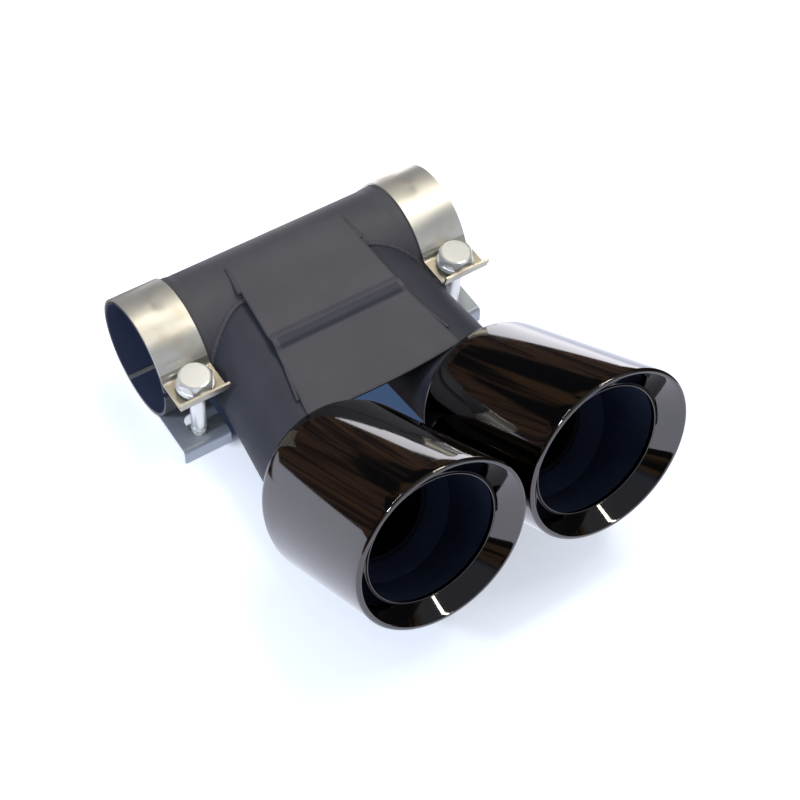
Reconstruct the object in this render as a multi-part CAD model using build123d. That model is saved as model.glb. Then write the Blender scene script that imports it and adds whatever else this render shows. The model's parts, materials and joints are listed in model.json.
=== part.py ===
from build123d import *
import math
import os

# Twin exhaust tip assembly with a slip-on cross pipe, all sizes in millimetres and degrees.
# X runs along the cross pipe, -Y points to the mouths of the tips, +Z is up.
# Everything is drawn about the centre of the cross pipe and set on its base at the end.

# Cross pipe: a tube with an expanded and slotted socket at each end
pipe_od = 63.5
pipe_wall = 1.6
pipe_length = 184.0
socket_bore = 61.2
socket_depth = 31.0
swage_run = 3.0
slot_count = 3
slot_first_angle = 55.0
slot_width = 3.0
slot_length = 24.0

# Necks: two tubes that leave the cross pipe and bend up into the tips
neck_od = 56.2
neck_wall = 1.6
neck_root_x = 34.6
neck_bend_radius = 46.0
neck_bend_drop = 9.35
saddle_gap = 0.15

# Tips: double-walled, slash-cut, with a rolled lip and a bevelled mouth
tip_od = 90.0
tip_sheet = 1.2
tip_spacing = 91.9
tip_pitch = 32.2
tip_rear_y = -125.4
tip_rear_z = 0.0
tip_length = 103.5
tip_slash = 24.0
shoulder_radius = 9.0
lip_width = 6.0
lip_outer_round = 2.4
lip_inner_round = 1.8
bevel_depth = 12.0
mouth_od = 72.6
bevel_collar = 3.0
pocket_roof = 3.6
neck_entry = 34.0
sleeve_collar = 10.0
sleeve_flare = 11.0
nest_gap = 0.15

# Gusset plate over the two necks, pressed with one stiffening rib
plate_sheet = 2.0
plate_gap = 0.1
plate_rear_y = 4.0
plate_front_y = -86.0
plate_front_bow = 1.6
plate_rear_half = 34.5
plate_waist_half = 38.8
plate_waist_y = -53.5
plate_front_half = 44.0
rib_y = -53.5
rib_base = 8.6
rib_top = 4.4
rib_height = 1.9
rib_bend_radius = 1.6
plate_corner_radius = 3.0

# Weld beads
weld_seat = 0.05
saddle_bead = 2.6
tip_bead = 3.2
stitch_radius = 2.3
front_stitch_length = 17.0
rear_stitch_length = 15.0

# Band clamps: a sheet band, two bent ears, a bolt, a washer and a nut
band_width = 27.0
band_sheet = 1.2
band_slack = 0.15
band_upper_angle = 152.0
band_lower_angle = 234.5
ear_bend_radius = 2.2
upper_ear_height = 10.5
upper_ear_reach = 9.3
upper_lip_length = 8.0
upper_lip_angle = 75.0
lower_ear_depth = 26.6
lower_ear_reach = 8.7
lower_lip_length = 8.7
lower_lip_angle = 88.0
bolt_y = -40.5
bolt_lean = 3.0
bolt_d = 8.0
bolt_hole_gap = 0.5
bolt_end_depth = 35.0
head_flats = 13.0
head_height = 4.8
flange_d = 17.6
flange_height = 2.0
washer_d = 16.0
washer_height = 1.8
nut_height = 6.5
thread_gap = 0.05
ear_slot_length = 17.0
ear_slot_shift = 3.0

# Values that follow from the sizes above
pipe_r = pipe_od / 2
socket_r = socket_bore / 2 + pipe_wall
half_length = pipe_length / 2
neck_r = neck_od / 2
tip_r = tip_od / 2
mouth_r = mouth_od / 2
tip_x = tip_spacing / 2
band_inner_r = socket_r + band_slack
band_mid_r = band_inner_r + band_sheet / 2
band_x = half_length - band_width / 2


def yz(y, z):
    """A point of the YZ plane."""
    return Vector(0, y, z)


def heading(angle):
    """A unit vector in the YZ plane, turned from +Y towards +Z."""
    return yz(math.cos(math.radians(angle)), math.sin(math.radians(angle)))


def meet(point, along, other, toward):
    """Where two lines of the YZ plane cross."""
    cross = along.Y * toward.Z - along.Z * toward.Y
    apart = other - point
    reach = (apart.Y * toward.Z - apart.Z * toward.Y) / cross
    return point + along * reach


def revolved(points):
    """Revolve a closed outline of radius and height pairs about the Z axis."""
    return revolve(Plane.XZ * make_face(Polyline(*points, close=True)), Axis.Z)


def pipe_envelope(extra):
    """The cross pipe as a solid bar, grown by an extra radius."""
    swage_end = half_length - socket_depth
    swage_start = swage_end - swage_run
    outline = [
        (0, -half_length), (socket_r + extra, -half_length), (socket_r + extra, -swage_end),
        (pipe_r + extra, -swage_start), (pipe_r + extra, swage_start),
        (socket_r + extra, swage_end), (socket_r + extra, half_length), (0, half_length),
    ]
    return Rot(0, 90, 0) * revolved(outline)


# The tip frame: its Z runs along the tip to the mouth and its Y to the long side of the cut
tip_along = Vector(0, -math.cos(math.radians(tip_pitch)), math.sin(math.radians(tip_pitch)))
tip_frame = Plane(origin=(tip_x, tip_rear_y, tip_rear_z), x_dir=(1, 0, 0), z_dir=tip_along)


def slash_plane(depth):
    """A plane parallel to the slash cut, at a depth behind it, in the tip's own frame."""
    slope = math.radians(tip_slash)
    middle = tip_length - depth / math.cos(slope)
    return Plane(origin=(0, 0, middle), x_dir=(1, 0, 0), z_dir=(0, -math.sin(slope), math.cos(slope)))


def slash_ring(radius, depth):
    """The section that a round bar of the given radius leaves in a slash plane."""
    return slash_plane(depth) * Ellipse(radius, radius / math.cos(math.radians(tip_slash)))


def behind_slash(solid, depth):
    """Keep what lies behind a slash plane."""
    return split(solid, bisect_by=slash_plane(depth), keep=Keep.BOTTOM)


# Neck path, from the middle of the cross pipe to its end inside the tip
bend_back = (tip_rear_z + neck_bend_drop) / tip_along.Z
neck_root = Vector(neck_root_x, 0, 0)
neck_corner = tip_frame.origin - tip_along * bend_back
neck_end = tip_frame.origin + tip_along * neck_entry
neck_path = FilletPolyline(neck_root, neck_corner, neck_end, radius=neck_bend_radius)
neck_start = Plane(origin=neck_root, z_dir=(neck_corner - neck_root).normalized())


def neck_bar(radius):
    """A solid bar along the neck path."""
    return sweep(neck_start * Circle(radius), path=neck_path)


def mirrored(solid):
    """The same piece on the left side."""
    return mirror(solid, about=Plane.YZ)


# Cross pipe
neck_bore = neck_bar(neck_r - neck_wall)
cross_pipe = pipe_envelope(0) - pipe_envelope(-pipe_wall) - neck_bore - mirrored(neck_bore)
slot = Pos(half_length, 0, pipe_r) * Box(2 * slot_length - slot_width, slot_width, pipe_r)
slot += Pos(half_length - slot_length + slot_width / 2, 0, pipe_r) * Cylinder(slot_width / 2, pipe_r)
for index in range(slot_count):
    turned = Rot(slot_first_angle - 90 + index * 360 / slot_count, 0, 0) * slot
    cross_pipe = cross_pipe - turned - mirrored(turned)

# Necks
neck_tube = neck_bar(neck_r) - neck_bore - pipe_envelope(saddle_gap)
neck_along = neck_start.z_dir
bend_turn = math.radians(neck_along.get_angle(tip_along))
bend_start = Plane(origin=neck_corner - neck_along * (neck_bend_radius * math.tan(bend_turn / 2)), z_dir=neck_along)
neck_pipe = split(neck_tube, bisect_by=bend_start, keep=Keep.BOTTOM)
neck_elbow = split(neck_tube, bisect_by=bend_start, keep=Keep.TOP)

# Saddle welds, in the corner between a neck and the cross pipe
grown_pipe = pipe_envelope(saddle_bead)
saddle_weld = (neck_bar(neck_r + saddle_bead) & grown_pipe) - neck_bar(neck_r + weld_seat)
saddle_weld = saddle_weld - pipe_envelope(weld_seat)
band_edge = half_length - band_width
saddle_weld = split(saddle_weld, bisect_by=Plane.YZ.offset(band_edge - 2 * band_slack), keep=Keep.BOTTOM)

# Tip shell with a rounded shoulder, and the mouth ring with the rolled lip and the bevel
tip_far = tip_length + tip_od


def tip_can(radius, rear, corner):
    """A can with one rounded end, standing on the rear plane of the tip."""
    side = Line((radius, rear + corner), (radius, tip_far))
    top = Line((radius, tip_far), (0, tip_far))
    core = Line((0, tip_far), (0, rear))
    base = Line((0, rear), (radius - corner, rear))
    turn = RadiusArc((radius - corner, rear), (radius, rear + corner), -corner)
    return revolve(Plane.XZ * make_face([side, top, core, base, turn]), Axis.Z)


def mouth_funnel(extra):
    """The bevelled mouth from the slash cut to the end of its collar, grown by an extra radius."""
    bevel = loft([slash_ring(tip_r - lip_width + extra, 0), slash_ring(mouth_r + extra, bevel_depth)], ruled=True)
    bar = Pos(0, 0, tip_far / 2) * Cylinder(mouth_r + extra, tip_far)
    collar = behind_slash(bar, bevel_depth) - behind_slash(bar, bevel_depth + bevel_collar)
    return bevel + collar


outer_can = behind_slash(tip_can(tip_r, 0, shoulder_radius), 0)
inner_can = tip_can(tip_r - tip_sheet, tip_sheet, shoulder_radius - tip_sheet)
tip_shell = behind_slash(outer_can, pocket_roof) - inner_can
tip_shell -= Pos(0, 0, tip_sheet / 2) * Cylinder(neck_r + nest_gap, 3 * tip_sheet)
mouth_ring = split(outer_can, bisect_by=slash_plane(pocket_roof), keep=Keep.TOP)
mouth_ring = mouth_ring + mouth_funnel(tip_sheet) - mouth_funnel(0)


def front_rims(solid):
    """The edges of a solid that lie in the slash cut, the shortest first."""
    flush = solid.edges().filter_by(lambda edge: abs(slash_plane(0).to_local_coords(edge.center()).Z) < 0.01)
    return flush.sort_by(lambda edge: edge.length)


mouth_ring = fillet(front_rims(mouth_ring)[-1], lip_outer_round)
mouth_ring = fillet(front_rims(mouth_ring)[0], lip_inner_round)

# Tip sleeve: the inner wall, reduced at the back to a collar on the neck
sleeve_r = mouth_r - nest_gap
collar_r = neck_r + nest_gap + tip_sheet
collar_start = neck_entry - sleeve_collar + tip_sheet
collar_end = neck_entry + tip_sheet
sleeve_start = collar_end + sleeve_flare
sleeve = revolved([
    (collar_r, collar_start), (collar_r, collar_end), (sleeve_r, sleeve_start), (sleeve_r, tip_far),
    (sleeve_r - tip_sheet, tip_far), (sleeve_r - tip_sheet, sleeve_start),
    (collar_r - tip_sheet, collar_end), (collar_r - tip_sheet, collar_start),
])
tip_sleeve = behind_slash(sleeve, bevel_depth)

# Tip weld: a convex bead between the neck and the back of the shell
bead_inner = neck_r + weld_seat
bead_outer = neck_r + tip_bead
bead_mid = neck_r + tip_bead * 0.64
bead_outline = [
    Line((bead_inner, -tip_bead), (bead_inner, -weld_seat)),
    Line((bead_inner, -weld_seat), (bead_outer, -weld_seat)),
    ThreePointArc((bead_outer, -weld_seat), (bead_mid, -tip_bead * 0.64), (bead_inner, -tip_bead)),
]
tip_weld = revolve(Plane.XZ * make_face(bead_outline), Axis.Z)

# Gusset plate: it wraps the top of the cross pipe and lies down onto the necks
plate_r = pipe_r + plate_gap + plate_sheet / 2
neck_slope = (neck_corner.Z - neck_root.Z) / (neck_corner.Y - neck_root.Y)
crest_rise = neck_r / math.sqrt(1 - neck_along.Z ** 2)
seat_z = neck_slope * plate_front_y + crest_rise + plate_gap + plate_sheet / 2
seat_turn = math.degrees(math.atan2(seat_z, -plate_front_y))
seat_reach = math.hypot(plate_front_y, seat_z)
plate_slope = math.degrees(math.asin(plate_r / seat_reach)) - seat_turn
plate_down = heading(180 + plate_slope)
plate_up = heading(90 + plate_slope)
tangent_point = plate_up * plate_r
rear_angle = math.degrees(math.acos(plate_rear_y / plate_r))


def on_plate(y, height):
    """A point above the middle of the sheet at the given Y."""
    along = (y - tangent_point.Y) / plate_down.Y
    return tangent_point + plate_down * along + plate_up * height


def flat(vector):
    """The YZ coordinates of a point as a pair."""
    return (vector.Y, vector.Z)


wrap = ThreePointArc(
    flat(heading(rear_angle) * plate_r),
    flat(heading((rear_angle + 90 + plate_slope) / 2) * plate_r),
    flat(tangent_point),
)
run = FilletPolyline(
    flat(tangent_point),
    flat(on_plate(rib_y + rib_base / 2, 0)),
    flat(on_plate(rib_y + rib_top / 2, rib_height)),
    flat(on_plate(rib_y - rib_top / 2, rib_height)),
    flat(on_plate(rib_y - rib_base / 2, 0)),
    flat(on_plate(plate_front_y - 2 * plate_front_bow, 0)),
    radius=rib_bend_radius,
)
plate_strip = extrude(Plane.YZ * trace([wrap, run], plate_sheet), amount=pipe_length, both=True)
front_mid = plate_front_y - plate_front_bow
outline = [
    Line((-plate_rear_half, plate_rear_y), (plate_rear_half, plate_rear_y)),
    Line((plate_rear_half, plate_rear_y), (plate_waist_half, plate_waist_y)),
    Line((plate_waist_half, plate_waist_y), (plate_front_half, plate_front_y)),
    ThreePointArc((plate_front_half, plate_front_y), (0, front_mid), (-plate_front_half, plate_front_y)),
    Line((-plate_front_half, plate_front_y), (-plate_waist_half, plate_waist_y)),
    Line((-plate_waist_half, plate_waist_y), (-plate_rear_half, plate_rear_y)),
]
blank = extrude(make_face(outline), amount=2 * pipe_od)
front_corners = blank.edges().filter_by(Axis.Z).group_by(Axis.Y)[0]
blank = fillet(front_corners, plate_corner_radius)
top_gusset_plate = plate_strip & blank

# Stitch welds along the sides of the plate
front_corner = Vector(plate_front_half, plate_front_y, 0)
waist_corner = Vector(plate_waist_half, plate_waist_y, 0)
rear_corner = Vector(plate_rear_half, plate_rear_y, 0)


def stitch(start, toward, skip, length):
    """A bead along a side of the plate, on the surface that the plate lies on."""
    along = (toward - start).normalized()
    ends = []
    for distance in (skip, skip + length):
        spot = start + along * distance
        lift = -plate_sheet / 2
        ends.append(Vector(spot.X, spot.Y, on_plate(spot.Y, lift).Z))
    if start is rear_corner:
        ends = [Vector(end.X, end.Y, heading(math.degrees(math.acos(end.Y / pipe_r))).Z * pipe_r) for end in ends]
    bar = Plane(origin=ends[0], z_dir=(ends[1] - ends[0])) * Circle(stitch_radius)
    bead = extrude(bar, amount=(ends[1] - ends[0]).length)
    bead += Pos(*ends[0]) * Sphere(stitch_radius)
    bead += Pos(*ends[1]) * Sphere(stitch_radius)
    bead = bead - (plate_strip & blank) - neck_bar(neck_r + weld_seat) - pipe_envelope(weld_seat)
    bead = bead - (neck_bar(neck_r + saddle_bead + weld_seat) & pipe_envelope(saddle_bead + weld_seat))
    return bead.solids().sort_by(lambda solid: solid.volume)[-1]


front_stitch = stitch(front_corner, waist_corner, plate_corner_radius, front_stitch_length)
rear_stitch = stitch(rear_corner, waist_corner, stitch_radius, rear_stitch_length)

# Clamp band: one strip whose ends leave the circle and bend into ears, drawn in three runs
bolt_up = heading(90 + bolt_lean)
bolt_foot = yz(bolt_y, 0)
ear_out = heading(180 + bolt_lean)


def ear_points(angle, side, height, reach, lip_angle, lip_length):
    """The bend points of an ear, from the band's circle to the end of its lip."""
    root = heading(angle) * band_mid_r
    leave = heading(angle + side * 90)
    ear_centre = bolt_foot + bolt_up * height
    corner = meet(root, leave, ear_centre, ear_out)
    knee = ear_centre + ear_out * reach
    lip = knee + heading(180 + bolt_lean - side * lip_angle) * lip_length
    return [root, corner, knee, lip]


upper = ear_points(band_upper_angle, 1, upper_ear_height, upper_ear_reach, upper_lip_angle, upper_lip_length)
lower = ear_points(band_lower_angle, -1, -lower_ear_depth, lower_ear_reach, lower_lip_angle, lower_lip_length)
ring = ThreePointArc(
    flat(upper[0]), flat(heading((band_upper_angle + band_lower_angle) / 2 + 180) * band_mid_r), flat(lower[0]))
upper_run = FilletPolyline(*[flat(point) for point in upper], radius=ear_bend_radius)
lower_run = FilletPolyline(*[flat(point) for point in lower], radius=ear_bend_radius)


def strip(run):
    """Sheet of the band's width that follows a line of the YZ plane."""
    return Pos(band_x, 0, 0) * extrude(Plane.YZ * trace(run, band_sheet), amount=band_width / 2, both=True)


# The bolt frame stands on the cross pipe's level, with its Z up along the bolt
bolt_frame = Plane(origin=(band_x, bolt_y, 0), x_dir=(1, 0, 0), z_dir=bolt_up)
hole_r = bolt_d / 2 + bolt_hole_gap
upper_hole = bolt_frame * (Pos(0, 0, upper_ear_height) * Cylinder(hole_r, 4 * band_sheet))
lower_slot = bolt_frame * (Pos(0, ear_slot_shift, -lower_ear_depth) * extrude(
    Rot(0, 0, 90) * SlotOverall(ear_slot_length, 2 * hole_r), amount=2 * band_sheet, both=True))
clamp_band = strip(ring)
clamp_upper_ear = strip(upper_run) - upper_hole
clamp_lower_ear = strip(lower_run) - lower_slot

# Washer, bolt and nut
seat_height = upper_ear_height + band_sheet / 2
washer_ring = Circle(washer_d / 2) - Circle(hole_r)
clamp_washer = bolt_frame.offset(seat_height) * extrude(washer_ring, amount=washer_height)
outer_rims = clamp_washer.edges().filter_by(GeomType.CIRCLE).group_by(SortBy.RADIUS)[-1]
clamp_washer = chamfer(outer_rims, washer_height / 5)
head_base = seat_height + washer_height
flange = bolt_frame.offset(head_base) * extrude(Circle(flange_d / 2), amount=flange_height, taper=25)
head = bolt_frame.offset(head_base) * extrude(
    RegularPolygon(head_flats / 2, 6, major_radius=False), amount=flange_height + head_height)
crown = bolt_frame.offset(head_base) * revolved([
    (0, 0), (head_flats / 2 + 1.6, 0), (head_flats / 2 + 1.6, flange_height + head_height - 1.8),
    (head_flats / 2 - 0.6, flange_height + head_height), (0, flange_height + head_height)])
shank = bolt_frame.offset(-bolt_end_depth) * extrude(Circle(bolt_d / 2), amount=bolt_end_depth + head_base)
clamp_bolt = (head & crown) + flange + shank
nut_blank = extrude(RegularPolygon(head_flats / 2, 6, major_radius=False), amount=-nut_height)
nut_blank -= Pos(0, 0, -nut_height / 2) * Cylinder(bolt_d / 2 + thread_gap, 2 * nut_height)
clamp_nut = bolt_frame.offset(-lower_ear_depth - band_sheet / 2) * nut_blank

# All the pieces: those drawn on the right side are mirrored to the left
pieces = {"cross_pipe": cross_pipe, "top_gusset_plate": top_gusset_plate}
paired = {
    "neck_pipe": neck_pipe,
    "neck_elbow": neck_elbow,
    "saddle_weld": saddle_weld,
    "plate_front_weld": front_stitch,
    "plate_rear_weld": rear_stitch,
    "tip_shell": tip_frame.location * tip_shell,
    "mouth_ring": tip_frame.location * mouth_ring,
    "tip_sleeve": tip_frame.location * tip_sleeve,
    "tip_weld": tip_frame.location * tip_weld,
    "clamp_band": clamp_band,
    "clamp_upper_ear": clamp_upper_ear,
    "clamp_lower_ear": clamp_lower_ear,
    "clamp_bolt": clamp_bolt,
    "clamp_washer": clamp_washer,
    "clamp_nut": clamp_nut,
}
for name, solid in paired.items():
    pieces["right_" + name] = solid
    pieces["left_" + name] = mirrored(solid)

# The finished part stands on its base, centred over the origin
box = Compound(children=[Compound(list(solid.solids())) for solid in pieces.values()]).bounding_box()
shift = Vector(-(box.min.X + box.max.X) / 2, -(box.min.Y + box.max.Y) / 2, -box.min.Z)
os.makedirs("parts", exist_ok=True)
for name, solid in pieces.items():
    solids = solid.solids()
    body = solids[0] if len(solids) == 1 else Compound(list(solids))
    export_step(Pos(shift) * body, os.path.join("parts", name + ".step"))
print("size", round(box.size.X, 3), round(box.size.Y, 3), round(box.size.Z, 3))
print("cross pipe centre", round(shift.X, 4), round(shift.Y, 4), round(shift.Z, 4))
print("socket bore radius", socket_bore / 2)
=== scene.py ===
import json
import logging
import math
from dataclasses import dataclass, field
from enum import Enum
from typing import Iterable, Sequence, Union

import bmesh
import bpy
from bpy.types import Material, Mesh, Object
from mathutils import Matrix, Vector


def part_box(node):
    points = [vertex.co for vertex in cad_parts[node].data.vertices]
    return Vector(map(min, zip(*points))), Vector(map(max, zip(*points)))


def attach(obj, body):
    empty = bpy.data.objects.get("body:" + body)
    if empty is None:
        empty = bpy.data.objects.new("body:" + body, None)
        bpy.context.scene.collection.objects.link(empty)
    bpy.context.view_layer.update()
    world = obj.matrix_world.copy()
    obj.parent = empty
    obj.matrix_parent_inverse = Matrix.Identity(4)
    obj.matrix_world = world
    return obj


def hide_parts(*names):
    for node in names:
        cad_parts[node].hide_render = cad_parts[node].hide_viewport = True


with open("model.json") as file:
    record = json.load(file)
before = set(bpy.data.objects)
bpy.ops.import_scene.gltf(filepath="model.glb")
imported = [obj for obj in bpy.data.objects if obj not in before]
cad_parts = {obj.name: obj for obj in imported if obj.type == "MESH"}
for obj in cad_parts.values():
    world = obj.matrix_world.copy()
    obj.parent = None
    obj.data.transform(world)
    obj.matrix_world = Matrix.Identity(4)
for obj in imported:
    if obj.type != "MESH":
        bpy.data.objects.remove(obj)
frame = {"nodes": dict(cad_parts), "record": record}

LOG = logging.getLogger("exhaust_tip")
MM = 0.001
Number = Union[int, float]
Entry = tuple[float, float, bool]


class Side(Enum):
    """The two halves of the part, with the sign of their X."""

    LEFT = -1
    RIGHT = 1

    @property
    def word(self) -> str:
        """The side's name as node names begin with it."""
        return self.name.lower()


class Slot(Enum):
    """The record's material slots."""

    PAINT = "grey_paint"
    CHROME = "black_chrome"
    SLEEVE = "dark_sleeve"
    STRIP = "satin_steel"
    BRIGHT = "bright_steel"


# Shader maths


class Signal:
    """A number socket of a shader graph that takes part in arithmetic."""

    def __init__(self, graph: "Graph", socket: bpy.types.NodeSocket) -> None:
        """Wrap an output socket of a graph."""
        self.graph = graph
        self.socket = socket

    def _math(self, operation: str, first: object, second: object) -> "Signal":
        """Add one Math node and return its output."""
        return self.graph.node("ShaderNodeMath", {"operation": operation}, {0: first, 1: second})

    def __add__(self, other: object) -> "Signal":
        """Sum, with the number on either side."""
        return self._math("ADD", self, other)

    __radd__ = __add__

    def __sub__(self, other: object) -> "Signal":
        """Difference."""
        return self._math("SUBTRACT", self, other)

    def __rsub__(self, other: object) -> "Signal":
        """Difference with the number first."""
        return self._math("SUBTRACT", other, self)

    def __mul__(self, other: object) -> "Signal":
        """Product, with the number on either side."""
        return self._math("MULTIPLY", self, other)

    __rmul__ = __mul__

    def __truediv__(self, other: object) -> "Signal":
        """Quotient."""
        return self._math("DIVIDE", self, other)

    def most(self, other: object) -> "Signal":
        """The larger of two values."""
        return self._math("MAXIMUM", self, other)

    def span(self, low: Number, high: Number) -> "Signal":
        """Rise smoothly from 0 at low to 1 at high."""
        values = {"Value": self, "From Min": low, "From Max": high, "To Min": 0.0, "To Max": 1.0}
        return self.graph.node("ShaderNodeMapRange", {"interpolation_type": "SMOOTHSTEP"}, values)

    def within(self, rise: tuple, fall: tuple) -> "Signal":
        """Rise from 0 to 1 over one stretch and fall back over a later one."""
        return self.span(*rise) * (1 - self.span(*fall))


class Graph:
    """The node tree of one material or world."""

    def __init__(self, tree: bpy.types.NodeTree) -> None:
        """Empty a shader node tree and keep it."""
        self.tree = tree
        self.tree.nodes.clear()

    def node(self, kind: str, settings: dict | None = None, inputs: dict | None = None,
             output: Union[int, str] = 0) -> Signal:
        """Add any node.

        Args:
            kind: The node's type.
            settings: Attributes that are set before the sockets, with ramp stops under "stops".
            inputs: Values or signals by socket name or index.
            output: The output socket that is returned.

        Returns:
            The chosen output as a signal.
        """
        made = self.tree.nodes.new(kind)
        for name, value in (settings or {}).items():
            if name == "stops":
                self._set_stops(made.color_ramp, value)
            else:
                setattr(made, name, value)
        for key, value in (inputs or {}).items():
            socket = made.inputs[key]
            if isinstance(value, Signal):
                self.tree.links.new(value.socket, socket)
            else:
                socket.default_value = value
        return Signal(self, made.outputs[output])

    @staticmethod
    def _set_stops(ramp: bpy.types.ColorRamp, stops: Sequence[tuple]) -> None:
        """Give a ramp its stops, each a position and a colour."""
        while len(ramp.elements) < len(stops):
            ramp.elements.new(0.5)
        for element, (place, colour) in zip(ramp.elements, stops):
            element.position = place
            element.color = (*colour, 1.0)

    def position(self) -> Signal:
        """The piece's own coordinates, in metres."""
        return self.node("ShaderNodeTexCoord", output="Object")

    def axes(self, vector: Signal) -> list[Signal]:
        """The X, Y and Z of a vector."""
        split = self.node("ShaderNodeSeparateXYZ", {}, {0: vector})
        return [Signal(self, output) for output in split.socket.node.outputs]

    def vector(self, operation: str, first: Signal, second: tuple = (0.0, 0.0, 0.0),
               output: str = "Vector") -> Signal:
        """Vector arithmetic on a signal and a constant."""
        return self.node("ShaderNodeVectorMath", {"operation": operation}, {0: first, 1: second}, output)

    def scaled(self, vector: Signal, scale: tuple[float, float, float]) -> Signal:
        """Coordinates scaled along X, Y and Z."""
        return self.node("ShaderNodeMapping", {}, {"Vector": vector, "Scale": scale})

    def noise(self, vector: Signal, scale: float, detail: float = 2.0, rough: float = 0.5) -> Signal:
        """Noise between 0 and 1, by its cells in a metre, its octaves and the weight of the finer ones."""
        values = {"Vector": vector, "Scale": scale, "Detail": detail, "Roughness": rough}
        return self.node("ShaderNodeTexNoise", {}, values)

    def mix(self, factor: Signal, first: Union[Signal, tuple], second: Union[Signal, tuple]) -> Signal:
        """Mix two colours, each a signal or a constant; a factor of 1 gives the second."""
        ends = [end if isinstance(end, Signal) else (*end, 1.0) for end in (first, second)]
        return self.node("ShaderNodeMix", {"data_type": "RGBA"}, {0: factor, 6: ends[0], 7: ends[1]}, 2)

    def bump(self, height: Signal, depth: float, strength: float) -> Signal:
        """A normal that follows a height, by the depth of the relief in metres and its weight."""
        values = {"Height": height, "Distance": depth, "Strength": strength}
        return self.node("ShaderNodeBump", {}, values)

    def close(self, inputs: dict) -> None:
        """End a material with a Principled shader that has these values and signals."""
        self.end(self.node("ShaderNodeBsdfPrincipled", {}, inputs))

    def end(self, shader: Signal, output: str = "ShaderNodeOutputMaterial") -> None:
        """Link a shader to the output of the material or the world."""
        made = self.tree.nodes.new(output)
        self.tree.links.new(shader.socket, made.inputs["Surface"])


# Finishes


@dataclass(frozen=True)
class Finish:
    """A surface finish that makes its own material."""

    name: str

    def weave(self, graph: Graph) -> None:
        """Fill the material's graph; each finish has its own."""
        raise NotImplementedError

    def make(self) -> Material:
        """Build the material.

        Returns:
            The finished material.
        """
        material = bpy.data.materials.new(self.name)
        material.use_nodes = True
        self.weave(Graph(material.node_tree))
        return material


@dataclass(frozen=True)
class GreyPaint(Finish):
    """Matt heat-proof grey paint on pipe, with a fine spray grain."""

    base: tuple = (0.064, 0.061, 0.071)
    dusty: tuple = (0.078, 0.075, 0.086)
    roughness: float = 0.52
    specular: float = 0.36
    grain: float = 2600.0
    second: tuple = (0.0, 0.0, 0.0)

    def mask(self, graph: Graph, place: Signal) -> Signal | None:
        """Where the second colour lies; plain paint has none."""
        return None

    def weave(self, graph: Graph) -> None:
        """Broad clouding, a fine grain, a faint relief and the second colour where there is one."""
        place = graph.position()
        cloud = graph.noise(place, 26.0, 3.0, 0.55)
        grain = graph.noise(place, self.grain, 2.0, 0.6)
        handled = graph.noise(place, 90.0, 4.0, 0.62).span(0.5, 0.72)
        colour = graph.mix(cloud.span(0.3, 0.7) * 0.75 + grain * 0.25, self.base, self.dusty)
        # A second colour, where a subclass gives one: painted shade on the plate's rib, and a darker colour
        # inside the tip and inside the bore.
        covered = self.mask(graph, place)
        if covered is not None:
            colour = graph.mix(covered, colour, self.second)
        graph.close({
            "Base Color": colour,
            "Roughness": self.roughness + 0.1 * grain - 0.07 * handled,
            "Specular IOR Level": self.specular,
            "Normal": graph.bump(grain * 0.6 + cloud * 0.4, 0.00006, 0.55),
        })


@dataclass(frozen=True)
class InTipDarkPaint(GreyPaint):
    """The same grey paint, which turns to dark sleeve colour inside the tip."""

    # Neck paint that turns near black past a set distance along the tip.
    along: tuple = (0.0, -0.85, 0.53)
    start: float = 0.0
    fade: float = 2 * MM
    second: tuple = (0.004, 0.005, 0.011)

    def mask(self, graph: Graph, place: Signal) -> Signal:
        """Past a distance along the tip."""
        reach = graph.vector("DOT_PRODUCT", place, self.along, "Value")
        return reach.span(self.start - self.fade, self.start + self.fade)


@dataclass(frozen=True)
class BoreDarkPaint(GreyPaint):
    """Grey paint outside and a dark bluish colour inside a bore along X."""

    middle: tuple = (0.0, 0.0, 0.0)
    bore_r: float = 31.1 * MM
    fade: float = 0.2 * MM
    second: tuple = (0.036, 0.047, 0.095)

    def mask(self, graph: Graph, place: Signal) -> Signal:
        """Nearer to the pipe's axis than its bore."""
        apart = graph.vector("SUBTRACT", place, self.middle)
        reach = graph.vector("LENGTH", graph.vector("MULTIPLY", apart, (0.0, 1.0, 1.0)), output="Value")
        return 1 - reach.span(self.bore_r, self.bore_r + self.fade)


@dataclass(frozen=True)
class RibShadedPaint(GreyPaint):
    """Grey paint with painted shade: a darker bluish band on the front slope of the pressed rib, and a faint
    dark line at the foot of its rear slope.
    """

    middle: tuple = (0.0, 0.0, 0.0)
    slope: tuple = (-55.4 * MM, -49.6 * MM)
    half: float = 36.0 * MM
    line: float = -44.9 * MM
    foot_shade_weight: float = 0.35
    edge: float = 0.7 * MM
    # The painted shade colour of the rib's front slope and of the foot of its rear slope.
    second: tuple = (0.036, 0.038, 0.056)

    def mask(self, graph: Graph, place: Signal) -> Signal:
        """Painted shade: the rib's front slope, and weakly the foot of its rear slope."""
        across, along, _ = graph.axes(graph.vector("SUBTRACT", place, self.middle))
        start, end = ((side - self.edge, side + self.edge) for side in self.slope)
        foot = along.within((self.line - self.edge, self.line), (self.line, self.line + self.edge))
        wide = across.most(0 - across)
        ends = wide.span(self.half - self.edge, self.half + self.edge)
        return (along.within(start, end) + self.foot_shade_weight * foot) * (1 - ends)


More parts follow.
